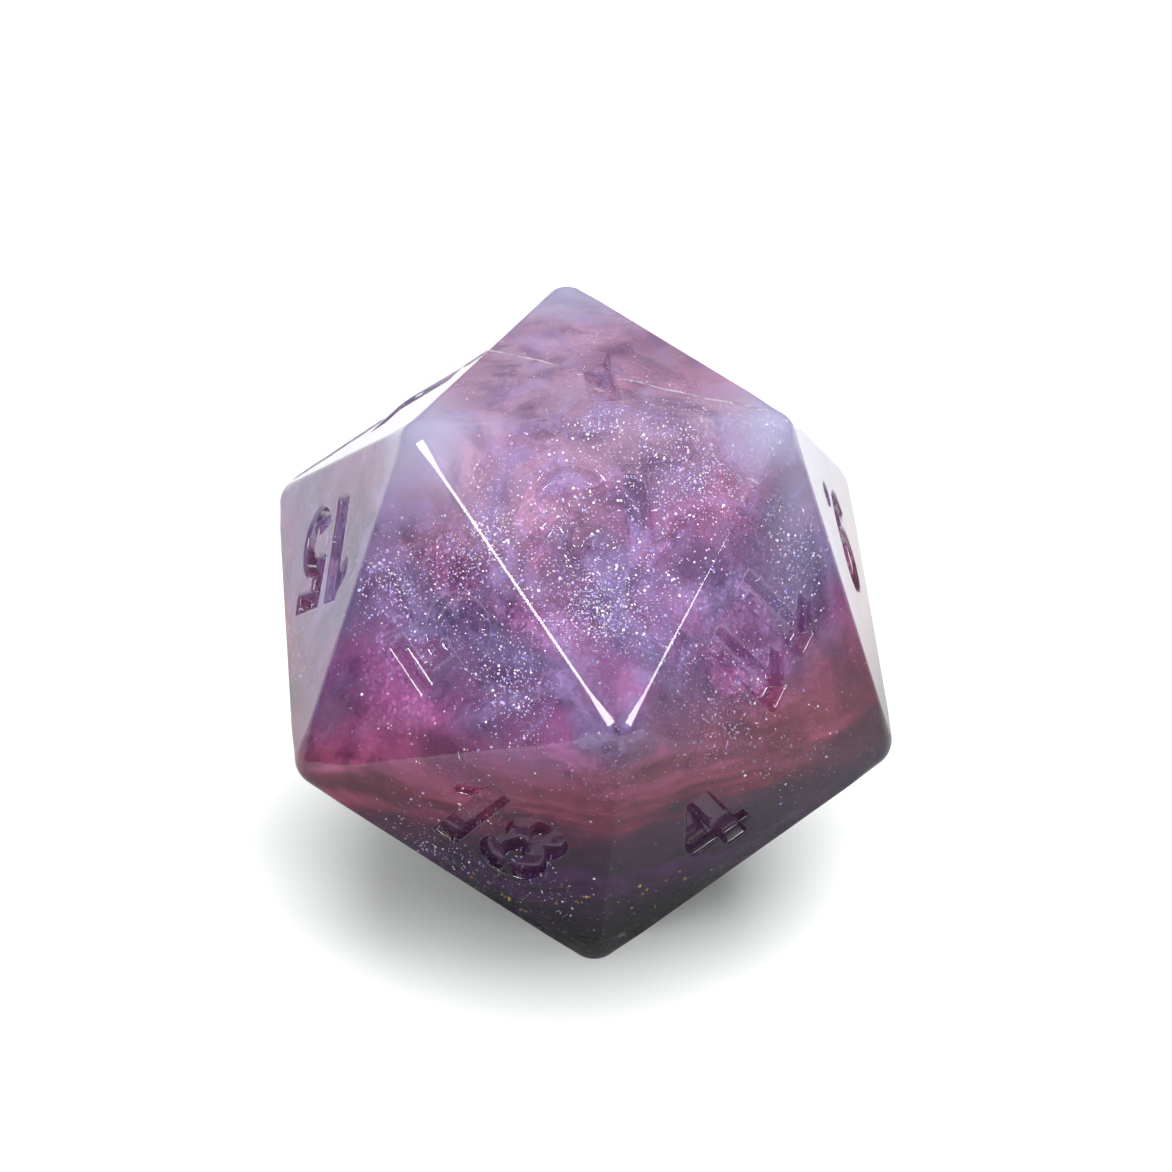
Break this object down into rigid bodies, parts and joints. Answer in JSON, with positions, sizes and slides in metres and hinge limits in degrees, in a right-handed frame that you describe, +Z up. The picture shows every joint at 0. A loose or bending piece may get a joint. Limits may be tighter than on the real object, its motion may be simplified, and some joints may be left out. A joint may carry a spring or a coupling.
{
  "type": "twenty-sided die",
  "caption": "Regular twenty-sided die of layered tinted resin with engraved numerals, softened edges and rounded corners.",
  "frame": {"origin": "centre of the resting face, which is the bottom centre of the bounding box", "axes": "+Z up through the face numbered 1, -Y the front, +X to the right seen from the front"},
  "size_m": [0.0214, 0.0242, 0.02],
  "materials": {
    "midnight_resin": "glossy cast resin, black-green to dark violet, with a few gold flakes",
    "oxblood_resin": "glossy cast resin, dark red to maroon, with fine mica",
    "rose_resin": "glossy cast resin, magenta-pink, with mica shimmer",
    "violet_resin": "glossy cast resin, purple, with dense mica shimmer and fine glitter",
    "pearl_resin": "glossy cast resin, milky lavender-blue over pink mica"
  },
  "bodies": {
    "root": {"midnight_pour": "midnight_resin", "oxblood_pour": "oxblood_resin", "rose_pour": "rose_resin", "violet_pour": "violet_resin", "pearl_pour": "pearl_resin"}
  },
  "joints": []
}
